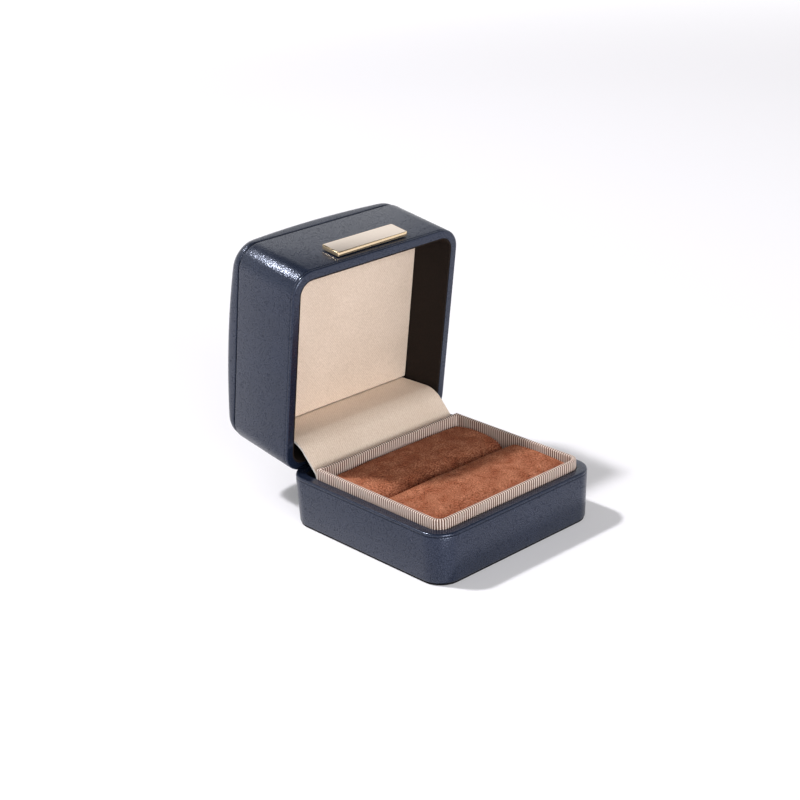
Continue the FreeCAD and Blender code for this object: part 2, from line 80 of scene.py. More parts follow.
# %% [markdown]
# Everything is modelled as by hand: a primitive is added at its size and place, its
# faces and edges are picked by where they are, and edit-mode tools shape it. These
# few helpers do the picking. Each one deselects everything first, because a tool
# works on all that is selected.

# %% Helpers for picking and editing
def choose(piece):
    """Make one piece the only selected one, and the active one."""
    bpy.ops.object.select_all(action="DESELECT")
    piece.select_set(True)
    bpy.context.view_layer.objects.active = piece


def open_edit(piece, mode):
    choose(piece)
    bpy.ops.object.mode_set(mode="EDIT")
    bpy.ops.mesh.select_mode(type=mode)
    bpy.ops.mesh.select_all(action="DESELECT")


def close_edit():
    bpy.ops.object.mode_set(mode="OBJECT")


def pick(piece, kind, test):
    """Select the vertices, edges or faces whose points, in millimetres, pass a test."""
    bpy.ops.mesh.select_all(action="DESELECT")
    mesh = bmesh.from_edit_mesh(piece.data)
    count = 0
    for part in getattr(mesh, kind):
        corners = [part] if kind == "verts" else part.verts
        if test([v.co / mm for v in corners]):
            part.select_set(True)
            count += 1
    mesh.select_flush_mode()
    bmesh.update_edit_mesh(piece.data)
    return count


def near(value, target):
    return abs(value - target) < touch


# %% [markdown]
# Every piece starts as a block or a plane of its real size. It ends the same way too:
# its turns are smoothed, it gets its finish, it is tied to the body that it moves
# with, and the imported parts that it stands in for are hidden.

# %% Helpers for starting a piece and finishing it
def add_block(name, low, high):
    """A cube primitive with its place and size in its mesh."""
    bpy.ops.object.select_all(action="DESELECT")
    centre = [(a + b) / 2 * mm for a, b in zip(low, high)]
    size = [(b - a) * mm for a, b in zip(low, high)]
    bpy.ops.mesh.primitive_cube_add(size=1, location=centre, scale=size)
    piece = bpy.context.object
    piece.name = piece.data.name = name
    bpy.ops.object.transform_apply(location=True, rotation=True, scale=True)
    return piece


def bevel_edges(piece, test, width, segments):
    open_edit(piece, "EDGE")
    pick(piece, "edges", test)
    bpy.ops.mesh.bevel(offset=width * mm, segments=segments, affect="EDGES", clamp_overlap=False)
    close_edit()


def add_rounded_block(name, low, high, radius, segments=10):
    """A block whose four upright edges are rounded."""
    piece = add_block(name, low, high)
    bevel_edges(piece, lambda p: near(p[0].x, p[1].x) and near(p[0].y, p[1].y), radius, segments)
    return piece


def open_through(piece, wall):
    """Turn a block into a frame: inset its top and bottom, and bridge them."""
    open_edit(piece, "FACE")
    z = [v.co.z / mm for v in bmesh.from_edit_mesh(piece.data).verts]
    low, high = min(z), max(z)
    pick(piece, "faces", lambda p: all(near(q.z, low) for q in p) or all(near(q.z, high) for q in p))
    bpy.ops.mesh.inset(thickness=wall * mm)
    bpy.ops.mesh.bridge_edge_loops()
    close_edit()


def apply_modifier(piece, kind, **settings):
    choose(piece)
    modifier = piece.modifiers.new(kind.lower(), kind)
    for name, value in settings.items():
        setattr(modifier, name, value)
    bpy.ops.object.modifier_apply(modifier=modifier.name)


def cut_away(piece, low, high):
    cutter = add_block("cutter", low, high)
    apply_modifier(piece, "BOOLEAN", operation="DIFFERENCE", object=cutter, solver="EXACT")
    bpy.data.objects.remove(cutter)


def swing_open(piece):
    """Turn a piece of the shut lid about the hinge pin to the open pose."""
    pin = Matrix.Translation((0, hinge_y * mm, hinge_z * mm))
    turn = Matrix.Rotation(math.radians(-open_angle), 4, "X")
    piece.matrix_world = pin @ turn @ pin.inverted()
    choose(piece)
    bpy.ops.object.transform_apply(location=True, rotation=True, scale=True)


def finish_piece(piece, body, nodes, slot, *materials, angle=35):
    """Smooth the soft turns, give the materials, and tie the piece to its body."""
    choose(piece)
    bpy.ops.object.shade_smooth_by_angle(angle=math.radians(angle))
    for material in materials:
        piece.data.materials.append(material)
    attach(piece, body)
    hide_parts(*nodes)
    print(piece.name, len(piece.data.polygons), "faces")


# %% [markdown]
# A finish is a small tree of nodes. One function adds a node, sets it and links it,
# and one turns the colour codes that painters and web designers use into the linear
# values that light is reckoned in.

# %% Helpers for finishes
def node(material, kind, inputs=None, **settings):
    """Add a node. Each input is a value, or another node's output to link."""
    made = material.node_tree.nodes.new("ShaderNode" + kind)
    for name, value in settings.items():
        setattr(made, name, value)
    for socket, value in (inputs or {}).items():
        if isinstance(value, bpy.types.NodeSocket):
            material.node_tree.links.new(value, made.inputs[socket])
        else:
            made.inputs[socket].default_value = value
    return made


def colour(code):
    """An sRGB code such as #3c4356, as linear red, green, blue and alpha."""
    values = [int(code[i:i + 2], 16) / 255 for i in (1, 3, 5)]
    return [v / 12.92 if v <= 0.04045 else ((v + 0.055) / 1.055) ** 2.4 for v in values] + [1]


def new_finish(name, **surface):
    """A material with its Principled shader. The settings stay on the shader's sockets."""
    material = bpy.data.materials.new(name)
    material.use_nodes = True
    shader = material.node_tree.nodes["Principled BSDF"]
    for socket, value in surface.items():
        shader.inputs[socket.replace("_", " ")].default_value = value
    return material


def drive(material, socket, output):
    """Link an output to a socket of the material's Principled shader."""
    shader = material.node_tree.nodes["Principled BSDF"]
    material.node_tree.links.new(output, shader.inputs[socket])


def per_mm(size):
    """A texture's scale for a pattern that repeats every so many millimetres."""
    return 1 / (size * mm)


# %% [markdown]
# Leatherette is polyurethane on a thin cloth. A steel roller presses a pebble grain
# into it while it is warm, so the tops of the pebbles are smooth and shiny and the
# lines between them are dull. Cells of a Voronoi texture are the pebbles, and their
# edges are the lines. Where the skin is pulled tight over a narrow rim, the grain
# flattens, so the rims get the same finish with a shallower grain.

# %% Leatherette
def leatherette(name, base, light, grain_depth, gloss):
    """Grained skin. The grain's depth is in millimetres, and the gloss is a roughness."""
    finish = new_finish(name, Specular_Tint=colour("#dbe4ff"))
    place = node(finish, "TexCoord").outputs["Object"]
    # The pebbles are about 0.5 mm across, and are drawn at 0.6 mm so that they show.
    # They are round in the relief, and the dull line between them is narrower
    wander = node(finish, "TexNoise", {"Vector": place, "Scale": per_mm(1.4), "Detail": 2.0})
    moved = node(finish, "VectorMath", {0: wander.outputs["Color"], 1: (0.5, 0.5, 0.5)},
                 operation="SUBTRACT")
    moved = node(finish, "VectorMath", {0: moved.outputs[0], "Scale": 0.3 * mm}, operation="SCALE")
    moved = node(finish, "VectorMath", {0: place, 1: moved.outputs[0]}, operation="ADD")
    pebble = node(finish, "TexVoronoi", {"Vector": moved.outputs[0], "Scale": per_mm(0.6)},
                  feature="DISTANCE_TO_EDGE")
    round_top = node(finish, "MapRange", {"Value": pebble.outputs["Distance"], "From Max": 0.3},
                     interpolation_type="SMOOTHSTEP")
    top = node(finish, "MapRange", {"Value": pebble.outputs["Distance"], "From Max": 0.15},
               interpolation_type="SMOOTHSTEP")
    fine = node(finish, "TexNoise", {"Vector": place, "Scale": per_mm(0.35), "Detail": 3.0})
    height = node(finish, "Math", {0: fine.outputs[0], 1: 0.25, 2: round_top.outputs[0]},
                  operation="MULTIPLY_ADD")
    bump = node(finish, "Bump", {"Height": height.outputs[0], "Strength": 1.0,
                                 "Distance": grain_depth * mm})
    patch = node(finish, "TexNoise", {"Vector": place, "Scale": per_mm(9.0), "Detail": 4.0})
    tone = node(finish, "MapRange", {"Value": patch.outputs[0], "From Min": 0.3, "From Max": 0.7})
    tint = node(finish, "Mix", {0: tone.outputs[0], 6: colour(base), 7: colour(light)}, data_type="RGBA")
    line = node(finish, "Mix", {0: top.outputs[0], 6: colour("#111828"), 7: tint.outputs[2]},
                data_type="RGBA")
    rough = node(finish, "MapRange", {"Value": top.outputs[0], "To Min": gloss + 0.2, "To Max": gloss})
    shine = node(finish, "MapRange", {"Value": top.outputs[0], "To Min": 0.36, "To Max": 0.82})
    drive(finish, "Base Color", line.outputs[2])
    drive(finish, "Roughness", rough.outputs[0])
    drive(finish, "Specular IOR Level", shine.outputs[0])
    drive(finish, "Normal", bump.outputs[0])
    return finish


grained_leatherette = leatherette("leatherette", "#141b2a", "#192133", 0.018, 0.21)
tight_leatherette = leatherette("leatherette pulled tight", "#161d2d", "#1b2334", 0.003, 0.17)
print("finishes", grained_leatherette.name, "and", tight_leatherette.name)

# %% [markdown]
# Suede cloth is a microfibre with its nap brushed up. Each fibre catches the light on
# its side, so the cloth is brightest at a grazing angle, and where a finger has
# brushed it the nap lies another way and looks darker. Fine noise gives the fibres,
# coarse noise the brushed patches, and sheen the soft edge.

# %% Suede cloth
suede = new_finish("suede cloth", Roughness=0.95, Specular_IOR_Level=0.15, Sheen_Weight=0.15,
                   Sheen_Roughness=0.45, Sheen_Tint=colour("#d89a76"))
place = node(suede, "TexCoord").outputs["Object"]
# Its fibres are under a tenth of a millimetre thick, and are drawn 0.5 mm wide so that
# they show
stretch = node(suede, "Mapping", {"Vector": place, "Rotation": (0, 0, 0.5), "Scale": (1, 1.8, 1)})
fibre = node(suede, "TexNoise", {"Vector": stretch.outputs[0], "Scale": per_mm(0.5), "Detail": 5.0,
                                 "Roughness": 0.75})
clump = node(suede, "TexNoise", {"Vector": place, "Scale": per_mm(4.5), "Detail": 4.0,
                                 "Distortion": 0.6})
fibre_tone = node(suede, "MapRange", {"Value": fibre.outputs[0], "From Min": 0.4, "From Max": 0.6})
clump_tone = node(suede, "MapRange", {"Value": clump.outputs[0], "From Min": 0.35, "From Max": 0.65})
dark = node(suede, "Mix", {0: clump_tone.outputs[0], 6: colour("#451c0f"), 7: colour("#6a301d")},
            data_type="RGBA")
bright = node(suede, "Mix", {0: clump_tone.outputs[0], 6: colour("#bf7050"), 7: colour("#db9370")},
              data_type="RGBA")
nap = node(suede, "Mix", {0: fibre_tone.outputs[0], 6: dark.outputs[2], 7: bright.outputs[2]},
           data_type="RGBA")
bump = node(suede, "Bump", {"Height": fibre.outputs[0], "Strength": 1.0, "Distance": 0.25 * mm})
drive(suede, "Base Color", nap.outputs[2])
drive(suede, "Normal", bump.outputs[0])
print("finish", suede.name)

# %% [markdown]
# The lid's lining is a close satin-faced cloth, glued to card. Its threads are about a
# third of a millimetre apart, so the eye sees a faint twill and a pearly bloom. The
# pattern has to lie in the plane of the cloth, so a Mapping node turns the lid's
# coordinates back to where they were before the lid was swung open.

# %% Cream lining cloth
def lining_cloth(name, turn, base, shade):
    """Satin lining. Its pattern is turned by so many degrees to lie in the cloth."""
    cloth = new_finish(name, Specular_IOR_Level=0.3, Sheen_Weight=0.15, Sheen_Roughness=0.35,
                       Sheen_Tint=colour("#fff1e2"))
    place = node(cloth, "TexCoord").outputs["Object"]
    flat = node(cloth, "Mapping", {"Vector": place, "Rotation": (math.radians(turn), 0, 0)})
    twist = node(cloth, "Mapping", {"Vector": flat.outputs[0], "Rotation": (0, 0, math.radians(38))})
    # The threads are 0.3 mm apart, and the twill is drawn at 0.55 mm so that it shows.
    # A wave texture at scale 1 repeats every pi / 10
    twill = node(cloth, "TexWave", {"Vector": twist.outputs[0], "Scale": per_mm(0.55) * math.pi / 10,
                                    "Distortion": 3.0, "Detail": 3.0, "Detail Scale": 2.5})
    slub = node(cloth, "TexNoise", {"Vector": twist.outputs[0], "Scale": per_mm(0.45), "Detail": 4.0})
    cloud = node(cloth, "TexNoise", {"Vector": place, "Scale": per_mm(14.0), "Detail": 2.0})
    weave = node(cloth, "Math", {0: slub.outputs[0], 1: 3.5, 2: twill.outputs["Fac"]},
                 operation="MULTIPLY_ADD")
    mixed = node(cloth, "Math", {0: cloud.outputs[0], 1: weave.outputs[0]}, operation="ADD")
    tone = node(cloth, "MapRange", {"Value": mixed.outputs[0], "From Min": 1.9, "From Max": 3.6})
    tint = node(cloth, "Mix", {0: tone.outputs[0], 6: colour(shade), 7: colour(base)}, data_type="RGBA")
    rough = node(cloth, "MapRange", {"Value": slub.outputs[0], "To Min": 0.5, "To Max": 0.72})
    bump = node(cloth, "Bump", {"Height": weave.outputs[0], "Strength": 1.0, "Distance": 0.02 * mm})
    drive(cloth, "Base Color", tint.outputs[2])
    drive(cloth, "Roughness", rough.outputs[0])
    drive(cloth, "Normal", bump.outputs[0])
    return cloth


ceiling_cloth = lining_cloth("satin lining of the lid", open_angle, "#efdccb", "#d6c1ae")
# The strip's copy of the cloth is painted lighter than the ceiling's, as painted light for the light that
# it gets less of
strip_cloth_painted_lighter = lining_cloth("satin lining over the hinge, painted lighter", 40, "#f6e4d3", "#e0cab6")
print("finishes", ceiling_cloth.name, "and", strip_cloth_painted_lighter.name)

# %% [markdown]
# Grosgrain ribbon is woven with thick weft threads, which stand up as ribs. Here the
# ribs are real geometry. The finish paints shade into the grooves between them, as a
# dark brown read from an attribute that the mesh carries, and adds the fine warp across them.

# %% Grosgrain
grosgrain = new_finish("grosgrain ribbon", Roughness=0.62, Specular_IOR_Level=0.3, Sheen_Weight=0.2,
                       Sheen_Roughness=0.4, Sheen_Tint=colour("#fff0e6"))
place = node(grosgrain, "TexCoord").outputs["Object"]
groove = node(grosgrain, "Attribute", attribute_name="groove")
slub = node(grosgrain, "TexNoise", {"Vector": place, "Scale": per_mm(2.0), "Detail": 4.0})
warp = node(grosgrain, "TexNoise", {"Vector": place, "Scale": per_mm(0.3), "Detail": 2.0})
# Painted shade: the grooves between the ribs get a dark brown in place of the thread colour
depth = node(grosgrain, "MapRange", {"Value": groove.outputs["Fac"], "From Min": 0.1, "From Max": 0.75},
             interpolation_type="SMOOTHSTEP")
thread = node(grosgrain, "Mix", {0: slub.outputs[0], 6: colour("#ecd6ca"), 7: colour("#f8eae0")},
              data_type="RGBA")
thread_and_painted_shade = node(grosgrain, "Mix", {0: depth.outputs[0], 6: thread.outputs[2], 7: colour("#5e3b2c")},
           data_type="RGBA")
bump = node(grosgrain, "Bump", {"Height": warp.outputs[0], "Strength": 1.0, "Distance": 0.03 * mm})
drive(grosgrain, "Base Color", thread_and_painted_shade.outputs[2])
drive(grosgrain, "Normal", bump.outputs[0])
print("finish", grosgrain.name)

# %% [markdown]
# The dark lining of the lid's walls is flocked paper: short nylon fibres stood on end
# in glue. It swallows light, apart from a faint bloom at a grazing angle.

# %% Flocked paper
def flock(name, base, light):
    paper = new_finish(name, Roughness=0.95, Specular_IOR_Level=0.1, Sheen_Weight=0.12,
                       Sheen_Roughness=0.4, Sheen_Tint=colour("#8a7768"))
    place = node(paper, "TexCoord").outputs["Object"]
    speck = node(paper, "TexNoise", {"Vector": place, "Scale": per_mm(0.5), "Detail": 4.0})
    tint = node(paper, "Mix", {0: speck.outputs[0], 6: colour(base), 7: colour(light)}, data_type="RGBA")
    bump = node(paper, "Bump", {"Height": speck.outputs[0], "Strength": 1.0, "Distance": 0.06 * mm})
    drive(paper, "Base Color", tint.outputs[2])
    drive(paper, "Normal", bump.outputs[0])
    return paper


wall_flock = flock("flocked paper of the lid's walls", "#1b1613", "#2c2420")
foot_flock = flock("flocked paper under the base", "#0f0f12", "#222228")
print("finishes", wall_flock.name, "and", foot_flock.name)

# %% [markdown]
# The plate is stamped brass with a thin champagne-gold plating. Its face is brushed,
# which drags the reflection out sideways, and its bevel is polished after stamping,
# which gives the bright line round it. A metal keeps the default IOR, and its colour
# is the colour of its reflection. The face's plating is painted paler and brighter than
# the bevel's, a painted reflection that lifts the face.

# %% Plated brass
def plating(name, tint, rough, brushed):
    metal = new_finish(name, Base_Color=colour(tint), Metallic=1.0)
    place = node(metal, "TexCoord").outputs["Object"]
    drawn = node(metal, "Mapping", {"Vector": place, "Scale": (0.03, 1, 1)})
    scratch = node(metal, "TexNoise", {"Vector": drawn.outputs[0], "Scale": per_mm(0.25), "Detail": 3.0})
    spread = node(metal, "MapRange", {"Value": scratch.outputs[0], "To Min": rough * 0.8,
                                      "To Max": rough * 1.3})
    bump = node(metal, "Bump", {"Height": scratch.outputs[0], "Strength": 1.0, "Distance": brushed * mm})
    drive(metal, "Roughness", spread.outputs[0])
    drive(metal, "Normal", bump.outputs[0])
    return metal


# Painted reflection: the face's colour is near white, paler than the bevel's plating
brushed_gold_painted_bright = plating("brushed champagne plating, painted bright", "#fff0e2", 0.34, 0.004)
polished_gold = plating("polished champagne plating", "#f6dcb4", 0.1, 0.0005)
hinge_plating = plating("nickel plating on steel", "#b9b4aa", 0.24, 0.002)
print("finishes", brushed_gold_painted_bright.name, polished_gold.name, hinge_plating.name)

# %% [markdown]
# The hidden parts have finishes too: moulded ABS with the fine spark texture of its
# mould, grey board with its pressed fibres, and open-cell foam with its pores.

# %% Plastic, board and foam
def grainy(name, base, light, size, depth, rough):
    stuff = new_finish(name, Specular_IOR_Level=0.4, Roughness=rough)
    place = node(stuff, "TexCoord").outputs["Object"]
    grain = node(stuff, "TexNoise", {"Vector": place, "Scale": per_mm(size), "Detail": 4.0})
    tint = node(stuff, "Mix", {0: grain.outputs[0], 6: colour(base), 7: colour(light)}, data_type="RGBA")
    bump = node(stuff, "Bump", {"Height": grain.outputs[0], "Strength": 1.0, "Distance": depth * mm})
    drive(stuff, "Base Color", tint.outputs[2])
    drive(stuff, "Normal", bump.outputs[0])
    return stuff


abs_plastic = grainy("moulded ABS", "#17181c", "#24262c", 0.6, 0.01, 0.45)
grey_board = grainy("grey board", "#77716a", "#a39c92", 1.2, 0.03, 0.9)
foam = grainy("open-cell foam", "#b9b2a6", "#e2dccf", 0.8, 0.2, 0.95)
cut_edge = grainy("cut edge of the lined card", "#e9e2da", "#fbf7f2", 0.5, 0.02, 0.8)
for name, finish in {
    "base_bottom_board": foot_flock, "base_shell": abs_plastic, "tray_frame": grey_board,
    "cushion_board": grey_board, "hinge_base_leaf": hinge_plating, "hinge_pin": hinge_plating,
    "hinge_spring": hinge_plating, "hinge_base_rivets": hinge_plating,
    "hinge_lid_leaf": hinge_plating, "hinge_lid_rivets": hinge_plating, "lid_shell": abs_plastic,
    "lid_ceiling_board": grey_board, "lid_ceiling_foam": foam, "lid_pad_board": grey_board,
}.items():
    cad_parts[name].data.materials.clear()
    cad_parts[name].data.materials.append(finish)
print("finishes", abs_plastic.name, grey_board.name, foam.name)

# %% [markdown]
# The camera stands in front of the box and to its left, a little above it, with a
# slight roll. It is placed from its angles and its distance, as a tripod would be set
# up in front of the real box.

# %% Camera
azimuth = math.radians(-42.442)
elevation = math.radians(22.245)
roll = math.radians(-2.144)
camera_distance = 506.4
sideways = 11.947
upwards = 16.707
away = Vector((math.sin(azimuth) * math.cos(elevation), -math.cos(azimuth) * math.cos(elevation),
               math.sin(elevation)))
level = Vector((math.cos(azimuth), math.sin(azimuth), 0))
above = away.cross(level)
right = math.cos(roll) * level + math.sin(roll) * above
up = math.cos(roll) * above - math.sin(roll) * level
spot = Vector((0, 0, 20)) + away * camera_distance - right * sideways + up * upwards
lens = bpy.data.cameras.new("camera")
lens.lens = 77.483
lens.sensor_width = 36
lens.clip_start = 0.01
camera = bpy.data.objects.new("camera", lens)
bpy.context.scene.collection.objects.link(camera)
camera.matrix_world = Matrix.Translation(spot * mm) @ Matrix((right, up, away)).transposed().to_4x4()
bpy.context.scene.camera = camera
print("camera at", [round(x, 1) for x in spot], "mm")

# %% [markdown]
# Products like this are shot on a white sweep. A small lamp stands high behind the box
# and to its left. It draws the bright line along the lid's rounded edge and throws
# crisp shadows forward to the right, and a weaker and larger one beside it softens
# their edges. A wide soft lamp, low and almost straight in front, lights the linings.

# %% Lamps
def add_lamp(name, direction, distance, size, level):
    """A square soft lamp. A level of 1 lights a facing surface as bright as its colour."""
    lamp = bpy.data.lights.new(name, "AREA")
    lamp.size = size
    lamp.energy = level * (math.pi * distance) ** 2
    holder = bpy.data.objects.new(name, lamp)
    bpy.context.scene.collection.objects.link(holder)
    facing = Vector(direction).normalized()
    holder.location = Vector((0, 0.015, 0.03)) + facing * distance
    holder.rotation_mode = "QUATERNION"
    holder.rotation_quaternion = facing.to_track_quat("Z", "Y")
    print(name, "lamp", round(lamp.energy, 2), "W")


add_lamp("key", (-0.37, 0.52, 0.98), 2.0, 0.14, 0.78)
add_lamp("soft box", (-0.37, 0.52, 0.90), 2.0, 0.35, 0.15)
add_lamp("front", (-0.30, -0.92, 0.22), 2.0, 1.2, 0.87)

# %% [markdown]
# The room only fills the shadows. In reflections it is white paper up to the top of the
# sweep, and dark above it, which the leather's edges show. The floor is pale. A little
# light of its own, which only the camera and reflections see, brings it up to white and
# keeps the shadow, and it grows to full white far from the box, where no lamp reaches.

# %% Room and floor
def seen_by_eye(material):
    """1 for what the camera sees, also by reflection or through glass. 0 for light."""
    path = node(material, "LightPath")
    seen = node(material, "Math", {0: path.outputs["Is Camera Ray"], 1: path.outputs["Is Glossy Ray"]},
                operation="ADD")
    seen = node(material, "Math", {0: seen.outputs[0], 1: path.outputs["Is Transmission Ray"]},
                operation="ADD", use_clamp=True)
    return seen.outputs[0]


room = bpy.data.worlds.new("pale room")
bpy.context.scene.world = room
room.use_nodes = True
heading = node(room, "SeparateXYZ", {"Vector": node(room, "TexCoord").outputs["Generated"]})
paper_edge = node(room, "MapRange", {"Value": heading.outputs["Z"], "From Min": 0.54, "From Max": 0.68,
                                     "To Min": 1.0, "To Max": 0.06}, interpolation_type="SMOOTHSTEP")
strength = node(room, "MapRange", {"Value": seen_by_eye(room), "To Min": 0.22,
                                   "To Max": paper_edge.outputs[0]})
backdrop = room.node_tree.nodes["Background"]
backdrop.inputs["Color"].default_value = (1, 1, 1, 1)
room.node_tree.links.new(strength.outputs[0], backdrop.inputs["Strength"])

bpy.ops.object.select_all(action="DESELECT")
bpy.ops.mesh.primitive_plane_add(size=8, location=(0, 0, -0.00002))
floor = bpy.context.object
floor.name = "floor"
paper = bpy.data.materials.new("white paper sweep")
paper.use_nodes = True
tree = paper.node_tree.nodes
surface = tree["Principled BSDF"]
surface.inputs["Base Color"].default_value = colour("#dddbe0")
surface.inputs["Roughness"].default_value = 0.9
surface.inputs["Specular IOR Level"].default_value = 0.1
place = node(paper, "TexCoord").outputs["Object"]
reach = node(paper, "VectorMath", {0: place}, operation="LENGTH")
far = node(paper, "MapRange", {"Value": reach.outputs["Value"], "From Min": 0.6, "From Max": 1.6,
                               "To Min": 0.24, "To Max": 1.0}, interpolation_type="SMOOTHSTEP")
lift = node(paper, "Math", {0: seen_by_eye(paper), 1: far.outputs[0]}, operation="MULTIPLY")
glow = node(paper, "Emission", {"Color": (1, 1, 1, 1), "Strength": lift.outputs[0]})
both = node(paper, "AddShader", {0: surface.outputs[0], 1: glow.outputs[0]})
paper.node_tree.links.new(both.outputs[0], tree["Material Output"].inputs["Surface"])
floor.data.materials.append(paper)
bpy.context.scene.view_settings.view_transform = "Standard"
print("floor and room are in place")

# %% [markdown]
# The base's wrap is one strip of leatherette, glued round the shell's four sides. It
# could be a plane pulled round the shell, but its turned edges would have to be drawn
# by hand, so a block with rounded upright edges is made into a thin frame instead.
# The foot is drawn in a little, as the shell's sides lean out, and the top and bottom
# edges are softened where the skin rolls over. The notch at the rear is for the hinge.

# %% Wrap of the base
foot = 0.6
wrap_top = base_height - rim_thickness
foot_lean = 0.4
notch = (-21.2, 25, 14.0), (21.2, 40, 20)
near_side = half_width - 0.3
base_wrap = add_rounded_block("base_wrap_leather", (-half_width, -half_width, foot),
                              (half_width, half_width, wrap_top), corner)
open_through(base_wrap, leather)
open_edit(base_wrap, "VERT")
pick(base_wrap, "verts", lambda p: near(p[0].z, foot))
lean = (half_width - foot_lean) / half_width
bpy.ops.transform.resize(value=(lean, lean, 1), center_override=(0, 0, foot * mm))
close_edit()


def outside_at(z, reach):
    """Edges that lie at a height on the outside of the box."""
    return lambda p: all(near(q.z, z) for q in p) and all(
        max(abs(q.x), abs(q.y)) > reach or math.hypot(q.x, q.y) > reach * 1.3 for q in p)


bevel_edges(base_wrap, outside_at(wrap_top, near_side), crease, 3)
bevel_edges(base_wrap, outside_at(foot, half_width - 0.6), 0.5, 4)
cut_away(base_wrap, *notch)
finish_piece(base_wrap, "base", ["base_wrap"], "navy_leather", grained_leatherette)

# %% [markdown]
# The rim is a narrow strip of the same skin, stretched over the mouth's edge. Its
# outer edge is a smooth round bead that meets the wrap in a fine crease.

# %% Rim of the base
base_rim = add_rounded_block("base_rim_leather", (-half_width, -half_width, wrap_top),
                             (half_width, half_width, base_height), corner)
open_through(base_rim, rim_width)
bevel_edges(base_rim, outside_at(base_height, near_side), rim_roll, 6)
bevel_edges(base_rim, outside_at(wrap_top, near_side), rim_underside, 3)
cut_away(base_rim, *notch)
finish_piece(base_rim, "base", ["base_rim"], "navy_leather", tight_leatherette)

# %% [markdown]
# The lid's wrap goes round its four walls and folds in over the edge of the top, under
# the padded panel. So it is a cup with a wide hole in its floor: the shut lid's
# outline is hollowed from below by an inset and an extrude, and both sides of the
# remaining top are inset to the same outline and bridged.

# %% Wrap of the lid
lid_wrap_low = mouth_plane + rim_thickness
fold = 3.0
lid_wrap = add_rounded_block("lid_wrap_leather", (-half_width, -half_width, lid_wrap_low),
                             (half_width, half_width, lid_seat), corner)
open_edit(lid_wrap, "FACE")
pick(lid_wrap, "faces", lambda p: all(near(q.z, lid_wrap_low) for q in p))
bpy.ops.mesh.inset(thickness=leather * mm)
bpy.ops.mesh.extrude_region_move(
    TRANSFORM_OT_translate={"value": (0, 0, (lid_seat - leather - lid_wrap_low) * mm)})
bpy.ops.mesh.inset(thickness=(fold - leather) * mm)
pick(lid_wrap, "faces", lambda p: all(near(q.z, lid_seat) for q in p))
bpy.ops.mesh.inset(thickness=fold * mm)
pick(lid_wrap, "faces", lambda p: len(p) > 20 and (all(near(q.z, lid_seat) for q in p)
                                                   or all(near(q.z, lid_seat - leather) for q in p)))
bpy.ops.mesh.bridge_edge_loops()
close_edit()
bevel_edges(lid_wrap, outside_at(lid_wrap_low, near_side), crease, 3)
bevel_edges(lid_wrap, outside_at(lid_seat, near_side), 0.65, 5)
plate_low = mouth_plane + 2.8
plate_high = plate_low + 7.3
plate_middle = (plate_low + plate_high) / 2
prong_places = (-8.5, 8.5)
slit_half = 1.6
for x in prong_places:
    cut_away(lid_wrap, (x - slit_half, -33, plate_middle - 0.4), (x + slit_half, -31, plate_middle + 0.4))
swing_open(lid_wrap)
finish_piece(lid_wrap, "lid", ["lid_wrap"], "navy_leather", grained_leatherette)

# %% [markdown]
# The lid's rim is made as the base's is, and faces it with the same beads. It is a
# little narrower, so that the dark lining can be tucked in along its inner edge.

# %% Rim of the lid
lid_rim = add_rounded_block("lid_rim_leather", (-half_width, -half_width, mouth_plane),
                            (half_width, half_width, lid_wrap_low), corner)
open_through(lid_rim, rim_width - flock_thickness)
bevel_edges(lid_rim, outside_at(mouth_plane, near_side), rim_roll, 6)
bevel_edges(lid_rim, outside_at(lid_wrap_low, near_side), rim_underside, 3)
swing_open(lid_rim)
finish_piece(lid_rim, "lid", ["lid_rim"], "navy_leather", tight_leatherette)

# %% [markdown]
# The padded top is leatherette pulled over foam on a board, so it rises to a soft
# crown and its shoulders are lowest at the corners, where the skin is pulled tightest.
# The outline is extruded into rings that shrink towards the middle, and each ring's
# height is then read off the crown. Below it a short neck, set in a little, makes the
# dark crease between the pad and the walls.

# %% Padded top of the lid
pad_inset = 0.3
pad_half = half_width - pad_inset
pad_turn = corner - pad_inset
pad_rise = 8.4
pad_crown = 200.0
pad_shoulder = 2.6
neck = 0.6
neck_depth = 0.45
neck_turn = 0.15
skirt = 0.5
pad_low = lid_seat + neck
pad = add_rounded_block("lid_pad_leather", (-pad_half, -pad_half, pad_low),
                        (pad_half, pad_half, pad_low + skirt), pad_turn, 12)
open_edit(pad, "FACE")
pick(pad, "faces", lambda p: all(near(q.z, pad_low) for q in p))
bpy.ops.mesh.inset(thickness=neck_depth * mm)
bpy.ops.mesh.extrude_region_move(TRANSFORM_OT_translate={"value": (0, 0, -neck * mm)})
bpy.ops.mesh.inset(thickness=neck_turn * mm)
bpy.ops.mesh.select_mode(type="EDGE")
pick(pad, "edges", lambda p: near(p[0].z, p[1].z) and (p[0] - p[1]).length > 20)
bpy.ops.mesh.subdivide(number_cuts=24)
bpy.ops.mesh.select_mode(type="FACE")
pick(pad, "faces", lambda p: len(p) > 20 and near(p[0].z, pad_low + skirt))
shares = [1 - pad_shoulder * (1 - math.cos(math.radians(a))) / pad_half
          for a in (15, 30, 45, 60, 75, 90)]
shares += [0.92 - 0.06 * i for i in range(1, 15)]
last = 1.0
for share in shares:
    bpy.ops.mesh.extrude_region_move(TRANSFORM_OT_translate={"value": (0, 0, 0)})
    bpy.ops.transform.resize(value=(share / last, share / last, 1), center_override=(0, 0, 0))
    last = share
bpy.ops.mesh.merge(type="CENTER")
close_edit()


def rounded_drop(distance, radius):
    """How far a rounded shoulder has dropped at a distance inside its edge."""
    short = radius - min(max(distance, 0.0), radius)
    return radius - math.sqrt(radius * radius - short * short)


